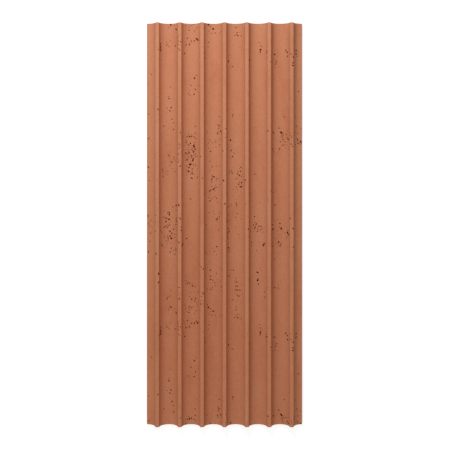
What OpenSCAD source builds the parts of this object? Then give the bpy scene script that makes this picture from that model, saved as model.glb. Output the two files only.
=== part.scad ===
// Fluted concrete wall panel, cast in one piece: a flat back and, on the face,
// half-round flutes that run the whole length between narrow ribs.
//
// Frame: the panel lies on its back. X runs across the ribs, Y along them and
// Z out of the face. The origin is the centre of the back. Millimetres.
//
// The two long edges lie halfway across a flute, so panels set side by side
// carry the flutes on at the same pitch.

/* [Panel] */
// Length of the panel, along the ribs
panel_len = 1200; // [300:10:3000]
// Width of the panel, across the ribs
panel_w = 465; // [260:5:900]
// Number of ribs across the width
rib_count = 7; // [3:1:12]

/* [Section] */
// Width of a rib from flank to flank, before its edges are rounded
rib_w = 11.4; // [6:0.1:30]
// Radius of a rib's two rounded edges
rib_edge_r = 2; // [0.5:0.1:2.8]
// Depth of a flute, from the top of a rib to the floor of the flute
flute_depth = 27; // [8:0.5:30]
// Thickness of the concrete behind the deepest line of a flute
web_t = 9; // [5:0.5:30]

/* [Hidden] */

$fn = 128;

// Distance from one rib to the next
pitch = panel_w / rib_count;
// From the back to the top of a rib
panel_t = web_t + flute_depth;
// Half of a flute's mouth, measured between sharp rib edges
mouth_half = (pitch - rib_w) / 2;
// Radius of the arc that runs from one rib edge, through the floor, to the other
flute_r = (pow(mouth_half, 2) + pow(flute_depth, 2)) / (2 * flute_depth);
// Height of that arc's centre above the back
flute_centre = web_t + flute_r;
// Height of the centres of the rib edges' rounding
edge_centre = panel_t - rib_edge_r;
// How far the rounding and the flute's arc overlap, so that no sliver is left between them
arc_overlap = 0.001;
// Distance from the centres of the roundings to the centre of the flute's arc
edge_reach = flute_r + rib_edge_r - arc_overlap;
// Their distance from the flute's centre line, where they touch the flute's arc
edge_offset = sqrt(pow(edge_reach, 2) - pow(flute_centre - edge_centre, 2));
// How far a cutting shape runs past the surface that it cuts
past = 5;

// Places a rib edge's rounding on both sides of a flute
module both_edges() {
    for (side = [-1, 1])
        translate([side * edge_offset, edge_centre]) children();
}

// The mouth of a flute, which widens to the tops of the ribs over their rounded edges
module flute_mouth() {
    difference() {
        polygon([
            [0, flute_centre],
            [edge_offset, edge_centre],
            [edge_offset, panel_t + past],
            [-edge_offset, panel_t + past],
            [-edge_offset, edge_centre]
        ]);
        both_edges() circle(r = rib_edge_r);
    }
}

// The section of the space inside one flute
module flute_section() {
    translate([0, flute_centre]) circle(r = flute_r);
    flute_mouth();
}

// The section across the ribs; the first and last flutes are halves
module panel_section() {
    difference() {
        translate([-panel_w / 2, 0]) square([panel_w, panel_t]);
        for (i = [0 : rib_count])
            translate([(i - rib_count / 2) * pitch, 0]) flute_section();
    }
}

module fluted_panel() {
    color([0.71, 0.44, 0.33])
        rotate([90, 0, 0])
            linear_extrude(height = panel_len, center = true) panel_section();
}

fluted_panel();
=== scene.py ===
"""Casts a fluted wall panel in dyed concrete and lays it on a studio floor.

The panel lies on its back, as its frame has it: X across the ribs, Y along them, Z out of the
face, in metres. Its section is drawn, copied across the width and drawn out to the full length.
Its pores are then cut as real holes, because they are what makes it look cast.
"""

import math
import random
from collections import Counter
from types import SimpleNamespace

import bpy
from bpy.props import FloatProperty, FloatVectorProperty, IntProperty, PointerProperty
from bpy.types import Operator, Panel, PropertyGroup
from mathutils import Euler, Matrix, Vector


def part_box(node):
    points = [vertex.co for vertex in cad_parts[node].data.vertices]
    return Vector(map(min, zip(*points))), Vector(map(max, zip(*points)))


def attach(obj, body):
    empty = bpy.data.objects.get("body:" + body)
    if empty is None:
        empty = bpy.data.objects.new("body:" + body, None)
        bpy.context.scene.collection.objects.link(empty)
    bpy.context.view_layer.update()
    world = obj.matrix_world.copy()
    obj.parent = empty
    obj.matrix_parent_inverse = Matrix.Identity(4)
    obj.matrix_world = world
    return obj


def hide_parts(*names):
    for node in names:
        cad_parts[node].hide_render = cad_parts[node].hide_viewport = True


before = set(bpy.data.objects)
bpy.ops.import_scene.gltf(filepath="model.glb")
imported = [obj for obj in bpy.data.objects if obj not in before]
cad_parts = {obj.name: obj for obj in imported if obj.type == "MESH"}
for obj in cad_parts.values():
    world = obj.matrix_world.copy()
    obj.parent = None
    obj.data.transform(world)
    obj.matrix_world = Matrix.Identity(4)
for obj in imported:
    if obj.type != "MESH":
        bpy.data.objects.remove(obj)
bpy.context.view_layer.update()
LOW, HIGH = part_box("fluted_panel")

bl_info = {
    "name": "Fluted Concrete Panel",
    "version": (1, 0, 0),
    "blender": (4, 5, 0),
    "location": "View3D > Sidebar > Fluted Panel",
    "description": "Casts a fluted concrete wall panel with open pores and lights it in a studio",
    "category": "Add Mesh",
}

MM = 0.001

# The pores that stand out, in millimetres from the middle of the face: place across the ribs, place
# along them and radius. They are listed from the top end down.
BOLD_PORES = (
    (-93, 597, 1.3), (-161, 596, 2.8), (-48, 596, 3.0), (-98, 594, 1.3), (-149, 593, 1.4),
    (-116, 592, 1.6), (-42, 591, 1.8), (-104, 589, 1.2), (-167, 588, 1.4), (-34, 584, 2.6),
    (-144, 581, 3.3), (-106, 580, 1.8), (-90, 578, 1.4), (-140, 575, 2.2), (-10, 574, 1.8),
    (-28, 572, 1.6), (-39, 571, 1.4), (-14, 570, 1.6), (-139, 568, 2.0), (36, 567, 1.4), (40, 564, 2.2),
    (50, 562, 1.8), (-138, 557, 1.6), (-111, 556, 2.1), (-84, 554, 2.5), (-138, 551, 1.5),
    (-80, 550, 3.2), (-90, 548, 2.2), (-99, 547, 1.8), (-174, 544, 1.2), (-137, 544, 1.6),
    (-47, 543, 1.8), (104, 543, 1.4), (-130, 542, 1.6), (-170, 538, 1.5), (-190, 537, 2.3),
    (-105, 537, 2.2), (-137, 535, 1.5), (-115, 535, 2.1), (107, 534, 1.6), (-147, 532, 2.2),
    (-190, 531, 2.2), (-166, 531, 1.5), (-49, 530, 1.7), (112, 530, 1.3), (-63, 527, 1.3),
    (-190, 526, 3.0), (-137, 522, 1.5), (108, 522, 2.7), (-190, 520, 2.8), (183, 519, 2.5),
    (-133, 518, 1.6), (125, 518, 2.2), (214, 518, 2.6), (107, 517, 2.2), (187, 513, 2.8), (107, 512, 1.7),
    (125, 511, 2.8), (-119, 510, 2.4), (-59, 509, 2.3), (215, 508, 2.1), (150, 507, 2.6), (15, 505, 1.4),
    (188, 501, 2.6), (127, 497, 2.0), (-58, 495, 2.8), (75, 489, 2.6), (155, 487, 2.1), (12, 486, 2.5),
    (136, 482, 1.4), (152, 478, 1.9), (203, 472, 2.5), (23, 471, 1.6), (26, 470, 1.2), (151, 468, 1.8),
    (-218, 447, 1.8), (-84, 445, 1.6), (-90, 436, 2.6), (-100, 415, 1.6), (-78, 414, 1.8),
    (-162, 410, 1.3), (-87, 403, 2.0), (221, 397, 2.0), (-108, 390, 1.5), (-91, 388, 2.1),
    (-104, 385, 1.2), (-168, 381, 1.6), (-166, 375, 2.2), (-160, 348, 2.4), (-172, 346, 1.5),
    (-197, 342, 2.2), (-227, 329, 1.6), (25, 327, 2.2), (-165, 325, 1.0), (-15, 322, 1.7),
    (212, 321, 1.5), (24, 320, 1.3), (179, 320, 1.9), (-157, 314, 2.2), (-153, 303, 1.7), (-20, 298, 1.5),
    (-17, 294, 2.4), (-181, 293, 1.8), (-13, 293, 1.7), (216, 293, 1.9), (-87, 292, 1.6), (163, 287, 2.2),
    (4, 285, 1.4), (-152, 283, 2.1), (60, 279, 1.6), (128, 278, 2.4), (-11, 277, 3.2), (-51, 275, 1.4),
    (168, 275, 2.1), (-131, 273, 1.8), (146, 273, 2.5), (207, 273, 2.8), (-87, 272, 2.0), (-21, 272, 2.2),
    (171, 272, 2.6), (193, 272, 1.5), (-8, 270, 2.0), (-107, 269, 1.2), (-99, 266, 1.2), (176, 266, 1.9),
    (207, 265, 2.6), (-105, 262, 2.6), (-91, 260, 1.9), (3, 259, 1.3), (187, 257, 2.2), (-227, 256, 1.9),
    (-8, 255, 1.6), (190, 253, 2.6), (-114, 251, 1.3), (18, 251, 2.6), (-27, 249, 1.3), (-42, 248, 1.5),
    (227, 248, 2.3), (-7, 246, 1.9), (178, 245, 1.2), (-114, 244, 1.9), (-27, 244, 1.3), (229, 244, 2.8),
    (-36, 243, 1.3), (-48, 242, 1.4), (221, 242, 2.4), (-133, 239, 1.7), (178, 239, 1.2), (212, 238, 1.5),
    (224, 238, 1.3), (-107, 237, 2.1), (-15, 237, 1.6), (-92, 235, 2.7), (201, 232, 1.6),
    (-132, 231, 1.3), (-91, 231, 2.8), (-25, 229, 1.2), (-48, 226, 1.2), (8, 225, 2.5), (40, 225, 1.2),
    (73, 225, 1.8), (144, 225, 2.3), (165, 225, 2.1), (-88, 224, 2.4), (-112, 223, 1.4), (20, 220, 2.3),
    (-5, 219, 1.8), (-92, 217, 2.3), (-42, 217, 2.0), (-107, 215, 2.1), (41, 215, 1.2), (-115, 212, 2.5),
    (28, 212, 1.6), (-88, 210, 1.7), (-137, 209, 1.9), (-167, 206, 2.2), (-86, 203, 1.6), (-71, 202, 1.7),
    (24, 202, 2.4), (-164, 201, 1.4), (-151, 199, 1.9), (-94, 197, 1.9), (-111, 194, 2.0),
    (-150, 192, 1.8), (-95, 191, 2.6), (-45, 187, 1.5), (-137, 186, 1.5), (-158, 185, 2.4),
    (-103, 178, 3.2), (-164, 176, 1.3), (-131, 174, 2.0), (-86, 174, 1.7), (-24, 173, 1.4),
    (-228, 170, 2.4), (49, 170, 2.3), (-107, 168, 1.7), (-157, 166, 1.4), (-97, 165, 1.9), (45, 165, 1.3),
    (53, 165, 1.3), (-184, 162, 1.7), (21, 159, 1.4), (-108, 158, 2.8), (48, 158, 2.3), (-147, 157, 1.8),
    (-184, 156, 1.7), (-170, 156, 1.2), (16, 154, 1.5), (-97, 152, 2.3), (23, 152, 2.0), (-143, 151, 1.5),
    (39, 150, 2.0), (90, 149, 1.9), (-170, 148, 1.2), (44, 146, 2.2), (-35, 143, 2.2), (51, 143, 1.7),
    (-184, 142, 2.0), (-31, 141, 2.1), (-80, 140, 2.2), (-66, 138, 1.8), (-98, 137, 2.5), (-37, 137, 1.9),
    (39, 137, 1.3), (-17, 136, 1.2), (-24, 135, 1.8), (61, 132, 2.4), (-3, 131, 2.7), (51, 124, 2.6),
    (42, 119, 2.3), (-16, 116, 1.6), (-39, 113, 1.5), (51, 112, 2.4), (47, 111, 2.3), (-25, 110, 1.7),
    (36, 110, 1.5), (-30, 107, 2.3), (-34, 104, 2.4), (26, 103, 1.2), (39, 102, 1.3), (-41, 101, 1.9),
    (-29, 100, 1.4), (-45, 98, 2.4), (73, 96, 2.3), (-58, 91, 2.2), (7, 91, 2.4), (-44, 87, 1.6),
    (-29, 83, 1.4), (26, 82, 1.0), (42, 80, 1.2), (-25, 77, 1.6), (-38, 76, 1.5), (-102, 75, 1.9),
    (34, 74, 1.1), (-45, 69, 1.7), (-21, 65, 1.5), (1, 62, 2.3), (35, 62, 2.1), (61, 62, 1.6),
    (-135, 57, 2.1), (151, 57, 2.4), (-144, 56, 3.2), (36, 56, 1.9), (14, 52, 1.8), (36, 48, 1.3),
    (-180, 39, 1.3), (-33, 38, 1.4), (-165, 34, 2.1), (-46, 34, 1.5), (39, 31, 1.9), (-30, 30, 1.2),
    (-204, 28, 1.5), (-165, 28, 2.5), (11, 27, 1.6), (-229, 23, 1.6), (-15, 22, 1.9), (90, 22, 2.1),
    (-181, 20, 2.1), (34, 20, 1.6), (195, 19, 2.2), (-174, 17, 2.0), (-144, 17, 2.1), (-130, 17, 1.9),
    (-21, 17, 2.0), (139, 16, 1.4), (9, 15, 2.0), (50, 15, 1.4), (-166, 14, 2.8), (157, 14, 1.3),
    (-24, 13, 2.4), (139, 10, 1.5), (-143, 9, 2.5), (15, 9, 1.7), (-222, 8, 1.4), (-205, 8, 2.2),
    (74, 8, 2.1), (-175, 7, 2.4), (9, 7, 2.0), (150, 7, 1.5), (91, 5, 1.2), (17, 1, 1.2), (166, 1, 2.3),
    (95, 0, 2.3), (-145, -1, 2.3), (-55, -1, 1.8), (143, -1, 2.6), (-225, -3, 1.3), (-11, -3, 1.2),
    (87, -3, 1.9), (-176, -6, 2.0), (-128, -7, 1.6), (101, -7, 1.8), (109, -7, 2.0), (-190, -8, 1.5),
    (92, -9, 2.0), (166, -9, 1.7), (-180, -10, 2.1), (-171, -10, 2.2), (35, -11, 1.2), (204, -11, 2.4),
    (-13, -12, 1.3), (12, -13, 2.1), (71, -13, 2.2), (113, -13, 1.7), (90, -14, 1.7), (170, -14, 3.0),
    (-153, -15, 2.3), (100, -15, 2.0), (145, -15, 3.4), (-128, -17, 2.1), (-18, -18, 1.8),
    (109, -18, 2.1), (-204, -19, 1.7), (-190, -19, 2.1), (189, -19, 1.9), (-144, -20, 1.7),
    (15, -21, 1.5), (86, -21, 1.2), (159, -21, 1.3), (-163, -22, 2.0), (98, -23, 1.8), (-186, -25, 1.3),
    (114, -25, 1.7), (188, -25, 3.1), (9, -26, 2.1), (-158, -27, 2.2), (-144, -29, 1.6), (41, -31, 1.5),
    (190, -31, 2.8), (9, -35, 2.0), (74, -36, 2.1), (-163, -37, 2.3), (186, -39, 1.9), (44, -41, 1.1),
    (11, -42, 1.7), (-159, -43, 3.1), (-113, -43, 2.2), (-168, -45, 1.9), (154, -45, 1.5),
    (-144, -49, 2.1), (-134, -54, 1.4), (103, -54, 1.3), (162, -54, 2.5), (81, -55, 1.7), (142, -56, 2.2),
    (-206, -58, 1.7), (-160, -58, 1.3), (119, -58, 2.9), (-124, -59, 3.4), (169, -59, 1.4),
    (-188, -60, 2.1), (81, -63, 1.4), (116, -63, 3.1), (161, -63, 1.3), (-186, -64, 2.1),
    (-126, -64, 3.3), (167, -65, 2.4), (144, -66, 2.2), (205, -66, 2.5), (-23, -68, 2.3), (193, -68, 1.8),
    (-146, -69, 1.3), (12, -70, 2.6), (-159, -72, 2.0), (-37, -73, 1.2), (74, -73, 1.9), (-145, -75, 2.5),
    (15, -75, 1.6), (96, -80, 1.4), (-145, -81, 1.8), (13, -81, 1.7), (-58, -82, 2.4), (-163, -83, 2.0),
    (-31, -83, 1.5), (-228, -84, 2.0), (-203, -86, 2.1), (-51, -88, 1.2), (-148, -90, 2.1),
    (-23, -91, 1.3), (150, -105, 1.7), (-6, -117, 1.8), (-69, -125, 1.8), (-9, -130, 2.0),
    (-63, -131, 2.1), (-42, -138, 2.2), (20, -138, 1.6), (27, -138, 1.9), (-194, -145, 3.1),
    (99, -145, 2.7), (-24, -148, 1.6), (15, -155, 2.2), (-115, -156, 1.5), (-42, -156, 2.0),
    (34, -163, 1.4), (101, -164, 2.1), (-42, -166, 2.2), (-113, -168, 1.3), (-117, -169, 1.4),
    (-34, -169, 1.3), (99, -169, 2.7), (-194, -170, 2.9), (-108, -174, 1.7), (35, -174, 2.0),
    (-116, -176, 1.5), (-29, -176, 1.8), (-104, -179, 1.5), (-97, -180, 1.5), (102, -180, 2.0),
    (-28, -185, 1.5), (-96, -186, 2.2), (-9, -186, 2.2), (34, -186, 2.0), (-89, -187, 1.7),
    (39, -187, 1.8), (149, -189, 2.2), (-36, -191, 1.5), (-51, -193, 1.5), (-40, -196, 2.1),
    (32, -197, 1.7), (38, -198, 2.4), (46, -198, 2.0), (-52, -199, 1.3), (-9, -199, 1.8),
    (-159, -200, 1.5), (-78, -202, 2.0), (-102, -206, 1.3), (-163, -216, 1.6), (120, -217, 2.1),
    (-134, -218, 2.0), (-87, -223, 2.2), (-173, -225, 1.9), (-98, -225, 2.3), (25, -227, 2.1),
    (-51, -241, 2.0),
)

# Flocks of small pores, in the same measures: the middle's two places, how far the flock reaches
# across and along, and how many pores it holds.
FLOCKS = (
    (-98, 588, 20, 12, 3), (-40, 578, 20, 16, 3), (40, 574, 16, 16, 3), (-138, 550, 5, 30, 1),
    (-98, 546, 20, 12, 5), (-170, 538, 14, 12, 1), (-191, 528, 4, 14, 5), (107, 522, 7, 20, 1),
    (216, 510, 5, 14, 1), (200, 500, 8, 24, 8), (130, 498, 9, 16, 1), (16, 484, 10, 22, 1),
    (154, 482, 6, 22, 1), (-165, 360, 10, 28, 1), (-18, 284, 10, 22, 2), (222, 262, 9, 30, 8),
    (184, 250, 18, 28, 24), (-18, 244, 28, 16, 2), (-100, 236, 17, 34, 18), (156, 218, 8, 6, 2),
    (30, 216, 12, 18, 1), (-138, 212, 6, 28, 5), (-102, 208, 16, 14, 7), (-150, 190, 12, 18, 1),
    (-98, 180, 18, 36, 20), (-145, 155, 6, 40, 4), (20, 155, 9, 10, 1), (-222, 150, 10, 30, 1),
    (-182, 150, 6, 18, 1), (48, 144, 16, 22, 8), (-30, 140, 18, 34, 6), (48, 112, 14, 14, 1),
    (146, 94, 10, 8, 2), (-36, 84, 14, 18, 3), (34, 80, 14, 26, 1), (-146, 50, 10, 12, 6),
    (10, 36, 7, 22, 3), (-22, 24, 14, 12, 1), (-168, 18, 20, 22, 9), (-217, 8, 12, 22, 6),
    (150, 6, 12, 14, 1), (-140, 4, 8, 24, 5), (99, -14, 14, 14, 4), (188, -30, 6, 14, 2),
    (-164, -36, 20, 34, 16), (12, -38, 6, 30, 2), (-212, -42, 12, 40, 6), (-132, -42, 6, 24, 1),
    (154, -42, 12, 30, 2), (76, -50, 6, 40, 1), (-154, -82, 8, 8, 2), (-8, -135, 6, 36, 3),
    (20, -148, 14, 16, 1), (-38, -162, 14, 36, 2), (-106, -184, 16, 14, 1), (38, -184, 10, 24, 3),
    (142, -194, 24, 14, 7), (-136, -205, 5, 20, 3), (-66, -212, 8, 26, 8), (-170, -224, 8, 10, 1),
    (42, -232, 18, 20, 6), (-100, -234, 20, 20, 8),
)
# The mould was used again this many millimetres further down, so its pores come twice.
MOULD_REPEAT = 845


def colour(red, green, blue):
    """Turns an sRGB colour, 0 to 255 as on a paint chart, into the linear numbers that shaders take."""
    steps = (red / 255, green / 255, blue / 255)
    return tuple(((step + 0.055) / 1.055) ** 2.4 if step > 0.04045 else step / 12.92 for step in steps)


# ---------------------------------------------------------------- settings


class CastingSizes(PropertyGroup):
    """Sizes of the casting that its box doesn't give"""

    rib_count: IntProperty(name="Ribs", description="Number of ribs across the width", default=7, min=1)
    rib_width: FloatProperty(
        name="Rib width",
        description="Width of a rib from flank to flank, before its edges are rounded",
        default=11.4 * MM,
        unit="LENGTH",
    )
    rib_edge: FloatProperty(
        name="Rib edge radius",
        description="Radius of a rib's two rounded edges",
        default=2 * MM,
        unit="LENGTH",
    )
    web: FloatProperty(
        name="Web",
        description="Thickness of the concrete behind the deepest line of a flute",
        default=9 * MM,
        unit="LENGTH",
    )
    arris: FloatProperty(
        name="Arris",
        description="How far the sharp edges of the ends, sides and back are eased",
        default=0.9 * MM,
        unit="LENGTH",
    )


class PoreSettings(PropertyGroup):
    """The air pores in the face and the ends"""

    seed: IntProperty(
        name="Seed",
        description="Changes where the scattered pores fall and which shape each pore has",
        default=11,
    )
    scale: FloatProperty(
        name="Scale",
        description="Size of the listed pores and of those in flocks, as a multiple of their radius",
        default=1.2,
        min=0.2,
    )
    crowding: FloatProperty(
        name="Crowding",
        description="How many small pores the flocks hold, as a multiple of the number listed",
        default=1.9,
        min=0,
    )
    stray: IntProperty(name="Strays", description="Small pores all over the face", default=400, min=0)
    nicks: IntProperty(name="Nicks", description="Pores that open on the ends", default=70, min=0)


class ConcreteColours(PropertyGroup):
    """The dyed concrete's colours, with the painted shade of its pores and right-facing flanks and the
    painted sheen at its top end
    """

    body: FloatVectorProperty(
        name="Body",
        description="The dyed concrete",
        default=colour(187, 120, 87),
        size=3,
        subtype="COLOR",
    )
    # Also painted sheen: the face turns towards this colour near the top end.
    bloom_and_sheen: FloatVectorProperty(
        name="Bloom",
        description="Where lime has come to the surface",
        default=colour(191, 132, 101),
        size=3,
        subtype="COLOR",
    )
    damp: FloatVectorProperty(
        name="Dark patches",
        description="Where the dye lies thicker",
        default=colour(174, 107, 76),
        size=3,
        subtype="COLOR",
    )
    # Painted shade: a darker, redder tone on the flanks that face right, away from the lamps.
    painted_flank_shade: FloatVectorProperty(
        name="Flanks",
        description="Where the dye has gathered: on the flanks that face right",
        default=colour(182, 106, 74),
        size=3,
        subtype="COLOR",
    )
    # Painted shade: the dark red that pores, pinholes and pits are painted with, for the shade inside
    # them.
    pore_shade: FloatVectorProperty(
        name="Pores",
        description="The wall just inside a pore",
        default=colour(112, 38, 4),
        size=3,
        subtype="COLOR",
    )
    # Painted shade: the near black painted at the bottom of the deepest pores.
    depth: FloatVectorProperty(
        name="Depth of pores",
        description="The bottom of the deepest pores",
        default=colour(40, 22, 10),
        size=3,
        subtype="COLOR",
    )


class StudioSettings(PropertyGroup):
    """Lamps and camera"""

    lamps: FloatProperty(name="Lamps", description="Share of the lamps' full power", default=1.0, min=0)
    sky: FloatProperty(name="Soft light", description="Light from all round", default=0.53, min=0)
    lens: FloatProperty(
        name="Lens",
        description="Focal length of the camera, for a 36 mm sensor",
        default=65.8,
        subtype="DISTANCE_CAMERA",
    )


# ---------------------------------------------------------------- helpers


def only(piece):
    """Selects one object alone and makes it the active one."""
    bpy.ops.object.select_all(action="DESELECT")
    piece.select_set(True)
    bpy.context.view_layer.objects.active = piece


def apply_modifier(piece, kind, **settings):
    """Puts a modifier on a piece and applies it."""
    only(piece)
    modifier = piece.modifiers.new(kind.lower(), kind)
    for name, value in settings.items():
        setattr(modifier, name, value)
    bpy.ops.object.modifier_apply(modifier=modifier.name)


def select_edges(piece, wanted):
    """In edit mode, selects the edges for whose two ends wanted is true."""
    bpy.ops.mesh.select_mode(type="EDGE")
    bpy.ops.mesh.select_all(action="DESELECT")
    bpy.ops.object.mode_set(mode="OBJECT")
    places = [vertex.co for vertex in piece.data.vertices]
    for edge in piece.data.edges:
        start, end = edge.vertices
        edge.select = wanted(places[start], places[end])
    bpy.ops.object.mode_set(mode="EDIT")


# Two lengths that differ by less than this count as the same.
CLOSE = 0.01 * MM


def near(a, b):
    """True where two lengths are as good as the same."""
    return abs(a - b) < CLOSE


def drop_spare_corners(piece):
    """Dissolves the points that only two edges share, which the cuts leave along straight rims."""
    only(piece)
    bpy.ops.object.mode_set(mode="EDIT")
    bpy.ops.mesh.select_mode(type="VERT")
    bpy.ops.mesh.select_all(action="DESELECT")
    bpy.ops.object.mode_set(mode="OBJECT")
    edges_at = Counter(end for edge in piece.data.edges for end in edge.vertices)
    for vertex in piece.data.vertices:
        vertex.select = edges_at[vertex.index] == 2
    bpy.ops.object.mode_set(mode="EDIT")
    bpy.ops.mesh.dissolve_verts()
    bpy.ops.object.mode_set(mode="OBJECT")


# ---------------------------------------------------------------- section


def section_of(sizes):
    """The lengths that the section across the ribs is drawn with."""
    width = HIGH.x - LOW.x
    pitch = width / sizes.rib_count
    depth = HIGH.z - LOW.z - sizes.web
    mouth_half = (pitch - sizes.rib_width) / 2
    radius = (mouth_half**2 + depth**2) / (2 * depth)
    centre = LOW.z + sizes.web + radius
    edge_centre = HIGH.z - sizes.rib_edge
    reach = radius + sizes.rib_edge
    drop = centre - edge_centre
    edge_offset = math.sqrt(reach**2 - drop**2)
    return SimpleNamespace(
        pitch=pitch,
        floor=LOW.z + sizes.web,
        radius=radius,
        centre=centre,
        edge=sizes.rib_edge,
        edge_centre=edge_centre,
        edge_offset=edge_offset,
        sweep=math.atan2(edge_offset, drop),
        ribs=sizes.rib_count,
    )


def face_at(section, across):
    """The height of the face at a place across the ribs, and the way that it faces there."""
    # How far the place lies from the middle of the nearest flute, and how far that flute's arc goes.
    bays = (across - LOW.x) / section.pitch
    beside = (bays - round(bays)) * section.pitch
    side = math.copysign(1, beside)
    arc_end = section.radius * math.sin(section.sweep)
    if abs(beside) >= section.edge_offset:
        return HIGH.z, Vector((0, 0, 1))
    if abs(beside) > arc_end:
        into = section.edge_offset - abs(beside)
        rise = math.sqrt(section.edge**2 - into**2)
        return section.edge_centre + rise, Vector((-side * into, 0, rise)).normalized()
    rise = math.sqrt(section.radius**2 - beside**2)
    return section.centre - rise, Vector((-beside, 0, rise)).normalized()


# How many flat steps half a flute, a rib's rounded edge and the panel's length are made of.
FLUTE_STEPS = 20
EDGE_STEPS = 5
LENGTH_STEPS = 24
# Edges that turn by more than this are arrises, and each is eased in this many steps.
ARRIS_TURN = math.radians(60)
ARRIS_STEPS = 3


def draw_bay(section):
    """Draws the line of the face from one flute's floor over a rib to the next flute's floor."""
    half = section.pitch / 2
    # The line starts as a plane that is merged into one point.
    bpy.ops.object.select_all(action="DESELECT")
    bpy.ops.mesh.primitive_plane_add(size=section.edge, location=(half, LOW.y, section.floor))
    bay = bpy.context.object
    bay.name = "cast_panel"
    bpy.ops.object.transform_apply(location=True)
    bpy.ops.object.mode_set(mode="EDIT")
    bpy.ops.mesh.select_mode(type="VERT")
    bpy.ops.mesh.merge(type="CENTER")
    along = (0, 1, 0)
    flute_centre = (half, LOW.y, section.centre)
    bpy.ops.mesh.spin(steps=FLUTE_STEPS, angle=-section.sweep, center=flute_centre, axis=along)
    edge_centre = (half - section.edge_offset, LOW.y, section.edge_centre)
    bpy.ops.mesh.spin(steps=EDGE_STEPS, angle=section.sweep, center=edge_centre, axis=along)
    to_middle = (section.edge_offset - half, 0, 0)
    bpy.ops.mesh.extrude_region_move(TRANSFORM_OT_translate={"value": to_middle})
    bpy.ops.object.mode_set(mode="OBJECT")
    apply_modifier(bay, "MIRROR", merge_threshold=CLOSE)
    return bay


def draw_section(section):
    """Copies the bay across the width and closes the line round the sides and the back."""
    panel = draw_bay(section)
    apply_modifier(
        panel,
        "ARRAY",
        count=section.ribs,
        use_relative_offset=False,
        use_constant_offset=True,
        constant_offset_displace=(section.pitch, 0, 0),
        use_merge_vertices=True,
        merge_threshold=CLOSE,
    )
    bpy.ops.object.mode_set(mode="EDIT")
    bpy.ops.mesh.select_all(action="SELECT")
    to_first = LOW.x + section.pitch / 2
    bpy.ops.transform.translate(value=(to_first, 0, 0))
    bpy.ops.mesh.select_mode(type="VERT")
    bpy.ops.mesh.select_all(action="DESELECT")
    bpy.ops.object.mode_set(mode="OBJECT")
    for vertex in panel.data.vertices:
        vertex.select = near(vertex.co.x, LOW.x) or near(vertex.co.x, HIGH.x)
    bpy.ops.object.mode_set(mode="EDIT")
    to_back = (0, 0, LOW.z - section.floor)
    bpy.ops.mesh.extrude_region_move(TRANSFORM_OT_translate={"value": to_back})
    bpy.ops.mesh.edge_face_add()
    return panel


def cast_panel(section, arris):
    """Draws the section out to the full length, closes its ends and eases its sharp edges."""
    panel = draw_section(section)
    bpy.ops.mesh.select_all(action="SELECT")
    to_end = (0, HIGH.y - LOW.y, 0)
    bpy.ops.mesh.extrude_region_move(TRANSFORM_OT_translate={"value": to_end})
    for end in (LOW.y, HIGH.y):
        select_edges(panel, lambda a, b: near(a.y, end) and near(b.y, end))
        bpy.ops.mesh.edge_face_add()
    select_edges(panel, lambda a, b: not near(a.y, b.y))
    bpy.ops.mesh.subdivide(number_cuts=LENGTH_STEPS - 1)
    bpy.ops.mesh.select_all(action="SELECT")
    bpy.ops.mesh.normals_make_consistent(inside=False)
    bpy.ops.mesh.select_all(action="DESELECT")
    bpy.ops.mesh.edges_select_sharp(sharpness=ARRIS_TURN)
    bpy.ops.mesh.bevel(offset=arris, segments=ARRIS_STEPS)
    bpy.ops.object.mode_set(mode="OBJECT")
    return panel


# ---------------------------------------------------------------- pores

# How lumpy each kind of bubble is, and the proportions of its length, width and depth.
BUBBLES = (
    (0.10, (1.0, 1.0, 1.3)),
    (0.14, (1.2, 0.9, 1.2)),
    (0.16, (0.8, 1.3, 1.4)),
    (0.20, (1.0, 1.0, 1.6)),
    (0.18, (1.6, 0.7, 1.2)),
    (0.16, (0.7, 1.5, 1.3)),
)
# How far the lumps push straight out, from 0 for every way at random to 1 for straight out alone.
STRAIGHT_OUT = 0.3
# The radius below which each grade of bubble is used, the fineness of its ball and its rounds of
# smoothing.
GRADES = ((1.4 * MM, 1, 0), (3 * MM, 2, 0), (9 * MM, 2, 1))
# The bubbles are cut in this many pours. Within one, the middles of two bubbles stay apart by this
# multiple of their radii together, so that each pour cuts cleanly.
POUR_COUNT = 3
ROOM = 1.5
# How deep the middle of a bubble may lie, as a share of its radius.
DEEPEST = 0.4
# How far the middle of a pore stays from the panel's outline, and that of a nick from its back.
EDGE_MARGIN = 2 * MM
BACK_MARGIN = 3 * MM
# The share of the width that nicks are scattered over.
NICK_SPREAD = 0.98
# The smallest and largest radii of the pores in flocks, before they are scaled, of the strays and of
# the nicks.
SPECK_RADII = (0.7 * MM, 2.1 * MM)
STRAY_RADII = (0.5 * MM, 1.1 * MM)
NICK_RADII = (0.8 * MM, 1.8 * MM)
# Edges that turn by less than this are shaded smooth.
SMOOTH_TURN = math.radians(50)


def bubble_mould(lumps, shape, fineness, rounds, seed):
    """Makes a closed lump with a mean radius of one metre."""
    bpy.ops.object.select_all(action="DESELECT")
    bpy.ops.mesh.primitive_ico_sphere_add(subdivisions=fineness, radius=1)
    mould = bpy.context.object
    bpy.ops.object.mode_set(mode="EDIT")
    bpy.ops.mesh.select_all(action="SELECT")
    bpy.ops.transform.vertex_random(offset=lumps, normal=STRAIGHT_OUT, seed=seed)
    bpy.ops.transform.resize(value=shape)
    bpy.ops.object.mode_set(mode="OBJECT")
    if rounds:
        apply_modifier(mould, "SUBSURF", levels=rounds, render_levels=rounds)
    mean = sum(vertex.co.length for vertex in mould.data.vertices) / len(mould.data.vertices)
    mould.data.transform(Matrix.Scale(1 / mean, 4))
    return mould


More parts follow.
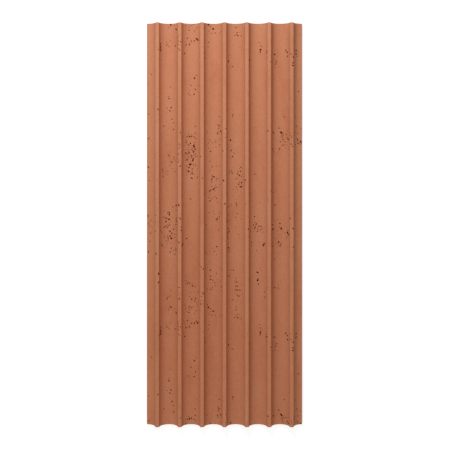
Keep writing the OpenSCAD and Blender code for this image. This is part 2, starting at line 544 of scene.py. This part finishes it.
class Bubbles:
    """One pour of bubbles, which keep clear of each other."""

    def __init__(self, chance):
        self.chance = chance
        self.placed = []
        self.copies = []
        self.grades = []
        for _limit, fineness, rounds in GRADES:
            kinds = enumerate(BUBBLES, start=1)
            self.grades.append([bubble_mould(*kind, fineness, rounds, seed) for seed, kind in kinds])

    def has_room(self, spot, radius):
        """True where a bubble of this radius would keep clear of every other of this pour."""
        return all((other - spot).length > ROOM * (radius + reach) for other, reach in self.placed)

    def place(self, spot, facing, radius):
        """Sets a bubble into the surface at a spot, and notes on it how deep each point lies."""
        sinking = radius * self.chance.uniform(0, DEEPEST)
        self.placed.append((spot, radius))
        grade = next(number for number, (limit, *_) in enumerate(GRADES) if radius < limit)
        mould = self.chance.choice(self.grades[grade])
        turn = Euler((0, 0, self.chance.uniform(0, 2 * math.pi))).to_matrix().to_4x4()
        upright = facing.to_track_quat("Z", "Y").to_matrix().to_4x4()
        copy = mould.copy()
        copy.data = mould.data.copy()
        depth = copy.data.attributes.new("depth", "FLOAT", "POINT")
        depths = [sinking - radius * vertex.co.z for vertex in mould.data.vertices]
        depth.data.foreach_set("value", depths)
        sunk = Matrix.Translation(spot - facing * sinking)
        copy.data.transform(sunk @ upright @ Matrix.Scale(radius, 4) @ turn)
        bpy.context.collection.objects.link(copy)
        self.copies.append(copy)

    def cut(self, panel, lining):
        """Joins the bubbles, cuts them out of the panel and clears the moulds away."""
        bpy.ops.object.select_all(action="DESELECT")
        for copy in self.copies:
            copy.select_set(True)
        cutter = self.copies[0]
        bpy.context.view_layer.objects.active = cutter
        bpy.ops.object.join()
        cutter.data.materials.append(lining)
        apply_modifier(
            panel,
            "BOOLEAN",
            operation="DIFFERENCE",
            object=cutter,
            solver="MANIFOLD",
            material_mode="TRANSFER",
        )
        for leftover in (cutter, *(mould for moulds in self.grades for mould in moulds)):
            bpy.data.objects.remove(leftover)


def place_in_face(pours, section, across, along, radius):
    """Sets a bubble into the face, in the first pour that has room for it."""
    if abs(across) > HIGH.x - EDGE_MARGIN or abs(along) > HIGH.y - EDGE_MARGIN:
        return
    height, facing = face_at(section, across)
    spot = Vector((across, along, height))
    for pour in pours:
        if pour.has_room(spot, radius):
            pour.place(spot, facing, radius)
            return


def set_bold_pores(pours, section, scale):
    """Sets the listed pores, as often as the mould was used."""
    for shift in (0, MOULD_REPEAT):
        for across, along, radius in BOLD_PORES:
            place_in_face(pours, section, across * MM, (along - shift) * MM, radius * MM * scale)


def scatter_flocks(pours, section, scale, crowding):
    """Scatters the small pores of each flock, as often as the mould was used."""
    chance = pours[0].chance
    small, large = SPECK_RADII
    for across, along, reach_across, reach_along, number in FLOCKS:
        for _ in range(round(number * crowding)):
            x = across + reach_across * chance.uniform(-1, 1)
            y = along + reach_along * chance.uniform(-1, 1)
            radius = chance.triangular(small, large, small) * scale
            for shift in (0, MOULD_REPEAT):
                place_in_face(pours, section, x * MM, (y - shift) * MM, radius)


def scatter_strays(pours, section, number):
    """Scatters small pores all over the face."""
    chance = pours[0].chance
    for _ in range(number):
        x = chance.uniform(LOW.x, HIGH.x)
        y = chance.uniform(LOW.y, HIGH.y)
        place_in_face(pours[:1], section, x, y, chance.uniform(*STRAY_RADII))


def scatter_nicks(pour, section, number):
    """Scatters pores over the two ends, where the section shows."""
    chance = pour.chance
    for _ in range(number):
        x = chance.uniform(LOW.x, HIGH.x) * NICK_SPREAD
        top, _facing = face_at(section, x)
        z = chance.uniform(LOW.z + BACK_MARGIN, top - EDGE_MARGIN)
        end = chance.choice((LOW.y, HIGH.y))
        spot = Vector((x, end, z))
        radius = chance.uniform(*NICK_RADII)
        if pour.has_room(spot, radius):
            pour.place(spot, Vector((0, math.copysign(1, end), 0)), radius)


# ---------------------------------------------------------------- finishes

WHITE = (1.0, 1.0, 1.0, 1.0)


def blank_material(name):
    """A material with only a Principled shader on its output, and what nodes are added with."""
    material = bpy.data.materials.new(name)
    material.use_nodes = True
    tree = material.node_tree
    shader = tree.nodes["Principled BSDF"]
    return SimpleNamespace(material=material, tree=tree, shader=shader)


def fill(made, node, inputs):
    """Fills or links a node's inputs, which are given by name or number."""
    for name, value in inputs.items():
        if isinstance(value, bpy.types.NodeSocket):
            made.tree.links.new(value, node.inputs[name])
        else:
            node.inputs[name].default_value = value


def add_node(made, kind, inputs=None, **settings):
    """Adds a node, gives it its settings and fills its inputs."""
    node = made.tree.nodes.new("ShaderNode" + kind)
    for name, value in settings.items():
        setattr(node, name, value)
    fill(made, node, inputs or {})
    return node


def object_place(made):
    """The place in the piece's own coordinates."""
    return add_node(made, "TexCoord").outputs["Object"]


def noise(made, place, scale, detail=3.0, roughness=0.5):
    """Noise between 0 and 1, in features per metre."""
    inputs = {"Vector": place, "Scale": scale, "Detail": detail, "Roughness": roughness}
    return add_node(made, "TexNoise", inputs).outputs["Fac"]


def math_node(made, operation, first, second, third=0.0):
    """One sum on two or three numbers."""
    return add_node(made, "Math", {0: first, 1: second, 2: third}, operation=operation).outputs[0]


def spread(made, value, low, high):
    """Goes from 0 to 1 as a value goes from low to high, and stays there beyond them."""
    inputs = {"Value": value, "From Min": low, "From Max": high}
    return add_node(made, "MapRange", inputs).outputs["Result"]


def blend(made, share, first, second):
    """Goes from the first colour to the second as share goes from 0 to 1."""
    node = add_node(made, "Mix", data_type="RGBA")
    numbers = {socket.identifier: number for number, socket in enumerate(node.inputs)}
    wanted = {"Factor_Float": share, "A_Color": first, "B_Color": second}
    fill(made, node, {numbers[name]: value for name, value in wanted.items()})
    return next(socket for socket in node.outputs if socket.identifier == "Result_Color")


def tint(made, tone, other, pattern, low, high, most=1.0):
    """Turns a tone towards another as a pattern goes from low to high, by at most this share."""
    share = math_node(made, "MULTIPLY", spread(made, pattern, low, high), most)
    return blend(made, share, tone, other)


def opaque(rgb):
    """A colour property with the alpha that a colour socket wants."""
    return (*rgb, 1.0)


def bump(made, height, distance, onto=None):
    """Raises a height over a surface, on top of another bump where one is given."""
    inputs = {"Height": height, "Distance": distance}
    if onto is not None:
        inputs["Normal"] = onto
    return add_node(made, "Bump", inputs).outputs["Normal"]


def pinholes(made, place, cells, widest):
    """1 inside the pinholes, which differ in size and crowd in some places, and 0 elsewhere."""
    nearest = add_node(made, "TexVoronoi", {"Vector": place, "Scale": cells}).outputs
    size = math_node(made, "MULTIPLY", spread(made, nearest["Color"], low=0.3, high=1.0), widest)
    beyond = math_node(made, "SUBTRACT", nearest["Distance"], size)
    hole = spread(made, beyond, low=0.0, high=-0.03)
    crowd = spread(made, noise(made, place, scale=14, detail=2), low=0.45, high=0.6)
    return math_node(made, "MULTIPLY", hole, crowd)


def cast_face(colours):
    """Dyed concrete as it leaves the mould: clouded and fine grained, with painted shade in its pinholes
    and on the flanks that face right, and palest at the top, where a sheen is painted.
    """
    made = blank_material("cast_face")
    place = object_place(made)
    stretched = add_node(made, "Mapping", {"Vector": place, "Scale": (3.0, 1.0, 3.0)}).outputs["Vector"]
    clouds = noise(made, stretched, scale=5, detail=4, roughness=0.6)
    mottle = noise(made, place, scale=60)
    paste = noise(made, place, scale=240, detail=4, roughness=0.65)
    grain = noise(made, place, scale=900, detail=2)
    pinhole = pinholes(made, place, cells=260, widest=0.19)
    along = add_node(made, "SeparateXYZ", {"Vector": place}).outputs["Y"]
    normal = add_node(made, "NewGeometry").outputs["Normal"]
    painted_shade_facing = add_node(made, "SeparateXYZ", {"Vector": normal}).outputs["X"]

    bloom_and_sheen, damp = opaque(colours.bloom_and_sheen), opaque(colours.damp)
    # Painted sheen: the face turns paler towards the top end.
    tone = tint(made, opaque(colours.body), bloom_and_sheen, along, low=-0.3, high=0.6, most=0.6)
    tone = tint(made, tone, bloom_and_sheen, clouds, low=0.52, high=0.75, most=0.7)
    tone = tint(made, tone, damp, clouds, low=0.46, high=0.25, most=0.8)
    tone = tint(made, tone, bloom_and_sheen, mottle, low=0.45, high=0.8, most=0.4)
    tone = tint(made, tone, damp, paste, low=0.5, high=0.3, most=0.7)
    tone = tint(made, tone, damp, grain, low=0.55, high=0.8, most=0.7)
    # Painted shade on the flanks that face right, away from the lamps.
    tone = tint(made, tone, opaque(colours.painted_flank_shade), painted_shade_facing, low=0.5, high=0.95, most=0.5)
    # Painted shade in the pinholes.
    tone = tint(made, tone, opaque(colours.pore_shade), pinhole, low=0.0, high=1.0, most=0.9)

    surface = bump(made, noise(made, place, scale=30), 0.6 * MM)
    surface = bump(made, paste, 0.25 * MM, surface)
    surface = bump(made, grain, 0.12 * MM, surface)
    surface = bump(made, math_node(made, "SUBTRACT", 1.0, pinhole), 0.5 * MM, surface)
    roughness = add_node(made, "MapRange", {"Value": mottle, "To Min": 0.8, "To Max": 0.98})
    shine = {"Roughness": roughness.outputs["Result"], "Specular IOR Level": 0.05}
    fill(made, made.shader, {"Base Color": tone, "Normal": surface, **shine})
    return made.material


def shaded_pore_wall(colours):
    """The raw concrete inside a pore, with painted shade: redder just below the rim and nearly black far
    down.
    """
    made = blank_material("shaded_pore_wall")
    crumb = noise(made, object_place(made), scale=700, roughness=0.7)
    depth = add_node(made, "Attribute", attribute_name="depth").outputs["Fac"]
    tone = tint(made, opaque(colours.damp), opaque(colours.body), crumb, low=0.35, high=0.7)
    # Painted shade: redder just below the rim, nearly black far down.
    tone = tint(made, tone, opaque(colours.pore_shade), depth, low=0.0, high=0.6 * MM)
    tone = tint(made, tone, opaque(colours.depth), depth, low=3 * MM, high=5.5 * MM)
    surface = bump(made, crumb, 0.4 * MM)
    shine = {"Roughness": 0.95, "Specular IOR Level": 0.1}
    fill(made, made.shader, {"Base Color": tone, "Normal": surface, **shine})
    return made.material


def struck_back(colours):
    """The back, which was struck off level while the concrete was wet: crumbly, pitted and uneven."""
    made = blank_material("struck_back")
    place = object_place(made)
    turned = {"Vector": place, "Rotation": (0, 0, 0.15), "Scale": (1.0, 4.0, 1.0)}
    drag = noise(made, add_node(made, "Mapping", turned).outputs["Vector"], scale=8, detail=2)
    clouds = noise(made, place, scale=6, detail=5, roughness=0.65)
    crumb = noise(made, place, scale=150, detail=5, roughness=0.75)
    sand = add_node(made, "TexVoronoi", {"Vector": place, "Scale": 600}).outputs["Color"]
    pit = pinholes(made, place, cells=110, widest=0.25)

    bloom_and_sheen, damp = opaque(colours.bloom_and_sheen), opaque(colours.damp)
    tone = tint(made, damp, opaque(colours.body), clouds, low=0.35, high=0.65)
    tone = tint(made, tone, bloom_and_sheen, drag, low=0.5, high=0.7, most=0.5)
    tone = tint(made, tone, bloom_and_sheen, sand, low=0.6, high=1.0, most=0.5)
    tone = tint(made, tone, damp, crumb, low=0.5, high=0.3, most=0.8)
    # Painted shade in the pits.
    tone = tint(made, tone, opaque(colours.pore_shade), pit, low=0.0, high=1.0, most=0.8)

    surface = bump(made, drag, 4 * MM)
    surface = bump(made, crumb, 1.2 * MM, surface)
    surface = bump(made, math_node(made, "SUBTRACT", 1.0, pit), 1.5 * MM, surface)
    shine = {"Roughness": 0.95, "Specular IOR Level": 0.1}
    fill(made, made.shader, {"Base Color": tone, "Normal": surface, **shine})
    return made.material


# ---------------------------------------------------------------- stage

# The floor's width, its gap below the panel, its darkest and palest grey, and how much it glows.
FLOOR_WIDTH = 12.0
FLOOR_GAP = 0.2 * MM
FLOOR_GREYS = (0.48, 0.52)
FLOOR_GLOW = 0.65
# Each lamp's place, width and power in watts. All hang to the left and point at the target, which
# is a little nearer to the top end than the panel's middle.
LAMPS = {
    "key_lamp": ((-0.4, 1.5, 1.6), 0.4, 11.5),
    "top_lamp": ((-0.25, 0.95, 1.0), 0.3, 5.4),
    "foot_lamp": ((-0.5, -1.1, 1.2), 0.3, 3.5),
}
LAMP_TARGET = Vector((0, 0.1, 0))
# The camera's place, its shift along the panel in picture widths, and its sensor's width in mm.
CAMERA_PLACE = (0.0015, 0.227, 2.472)
CAMERA_SHIFT = -0.1708
SENSOR_WIDTH = 36


def seen_ray(made):
    """1 where the camera sees a surface straight, in a mirror or through glass, and 0 elsewhere."""
    path = add_node(made, "LightPath").outputs
    mirrored = math_node(made, "MAXIMUM", path["Is Camera Ray"], path["Is Glossy Ray"])
    return math_node(made, "MAXIMUM", mirrored, path["Is Transmission Ray"])


def lay_floor():
    """A wide pale floor, a little brighter to the camera than to the lamps."""
    bpy.ops.object.select_all(action="DESELECT")
    bpy.ops.mesh.primitive_plane_add(size=FLOOR_WIDTH, location=(0, 0, LOW.z - FLOOR_GAP))
    floor = bpy.context.object
    floor.name = "studio_floor"
    bpy.ops.object.transform_apply(location=True)
    made = blank_material("floor_paper")
    fibre = noise(made, object_place(made), scale=40)
    darkest, palest = (opaque((grey, grey, grey)) for grey in FLOOR_GREYS)
    paper = {"Base Color": blend(made, fibre, darkest, palest), "Roughness": 0.9}
    glow = math_node(made, "MULTIPLY", seen_ray(made), FLOOR_GLOW)
    fill(made, made.shader, {**paper, "Emission Color": WHITE, "Emission Strength": glow})
    floor.data.materials.append(made.material)


def soft_light(scene, strength):
    """Even light from all round, with plain white behind everything."""
    world = bpy.data.worlds.new("studio")
    world.use_nodes = True
    scene.world = world
    made = SimpleNamespace(tree=world.node_tree)
    level = math_node(made, "MULTIPLY_ADD", seen_ray(made), 1 - strength, strength)
    fill(made, world.node_tree.nodes["Background"], {"Color": WHITE, "Strength": level})


def hang_lamps(share):
    """Soft round lamps, the strongest beyond the top end."""
    for name, (place, width, power) in LAMPS.items():
        aim = (LAMP_TARGET - Vector(place)).to_track_quat("-Z", "Y").to_euler()
        bpy.ops.object.light_add(type="AREA", location=place, rotation=aim)
        lamp = bpy.context.object
        lamp.name = name
        lamp.data.shape = "DISK"
        lamp.data.size = width
        lamp.data.energy = power * share


def place_camera(scene, lens):
    """A camera that looks straight down, framed by its shift."""
    bpy.ops.object.camera_add(location=CAMERA_PLACE, rotation=(0, 0, 0))
    camera = bpy.context.object
    camera.data.lens = lens
    camera.data.sensor_width = SENSOR_WIDTH
    camera.data.shift_y = CAMERA_SHIFT
    scene.camera = camera


# ---------------------------------------------------------------- operators


class FLUTED_OT_cast(Operator):
    """Cast the panel, cut its pores and finish it"""

    bl_idname = "fluted.cast"
    bl_label = "Cast Panel"

    def execute(self, context):
        scene = context.scene
        sizes = scene.fluted_sizes
        settings = scene.fluted_pores
        colours = scene.fluted_colours
        section = section_of(sizes)
        panel = cast_panel(section, sizes.arris)
        panel.data.materials.append(cast_face(colours))
        panel.data.materials.append(struck_back(colours))
        back = panel.data.materials.find("struck_back")
        for face in panel.data.polygons:
            if near(face.center.z, LOW.z):
                face.material_index = back

        chance = random.Random(settings.seed)
        pours = [Bubbles(chance) for _ in range(POUR_COUNT)]
        set_bold_pores(pours, section, settings.scale)
        scatter_flocks(pours, section, settings.scale, settings.crowding)
        scatter_strays(pours, section, settings.stray)
        scatter_nicks(pours[0], section, settings.nicks)
        lining = shaded_pore_wall(colours)
        for pour in pours:
            pour.cut(panel, lining)
        drop_spare_corners(panel)
        bpy.ops.object.shade_smooth_by_angle(angle=SMOOTH_TURN)
        apply_modifier(panel, "WEIGHTED_NORMAL", keep_sharp=True)
        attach(panel, "root")
        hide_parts("fluted_panel")
        return {"FINISHED"}


class FLUTED_OT_stage(Operator):
    """Lay the studio floor, hang the lamps and set up the camera"""

    bl_idname = "fluted.stage"
    bl_label = "Set Stage"

    def execute(self, context):
        studio = context.scene.fluted_studio
        lay_floor()
        soft_light(context.scene, studio.sky)
        hang_lamps(studio.lamps)
        place_camera(context.scene, studio.lens)
        context.scene.view_settings.view_transform = "Standard"
        return {"FINISHED"}


# ---------------------------------------------------------------- sidebar


class FLUTED_PT_panel(Panel):
    """Lists the operators and what they read"""

    bl_label = "Fluted Panel"
    bl_space_type = "VIEW_3D"
    bl_region_type = "UI"
    bl_category = "Fluted Panel"

    def draw(self, context):
        for group in SETTINGS:
            settings = getattr(context.scene, group)
            box = self.layout.box()
            for name in settings.__annotations__:
                box.prop(settings, name)
        for operator in OPERATORS:
            self.layout.operator(operator.bl_idname)


OPERATORS = (FLUTED_OT_cast, FLUTED_OT_stage)
SETTINGS = {
    "fluted_sizes": CastingSizes,
    "fluted_pores": PoreSettings,
    "fluted_colours": ConcreteColours,
    "fluted_studio": StudioSettings,
}


def register():
    for name, group in SETTINGS.items():
        bpy.utils.register_class(group)
        setattr(bpy.types.Scene, name, PointerProperty(type=group))
    for operator in OPERATORS:
        bpy.utils.register_class(operator)
    bpy.utils.register_class(FLUTED_PT_panel)


def unregister():
    bpy.utils.unregister_class(FLUTED_PT_panel)
    for operator in reversed(OPERATORS):
        bpy.utils.unregister_class(operator)
    for name, group in SETTINGS.items():
        delattr(bpy.types.Scene, name)
        bpy.utils.unregister_class(group)


def main():
    register()
    bpy.ops.fluted.cast()
    bpy.ops.fluted.stage()


if __name__ == "__main__":
    main()
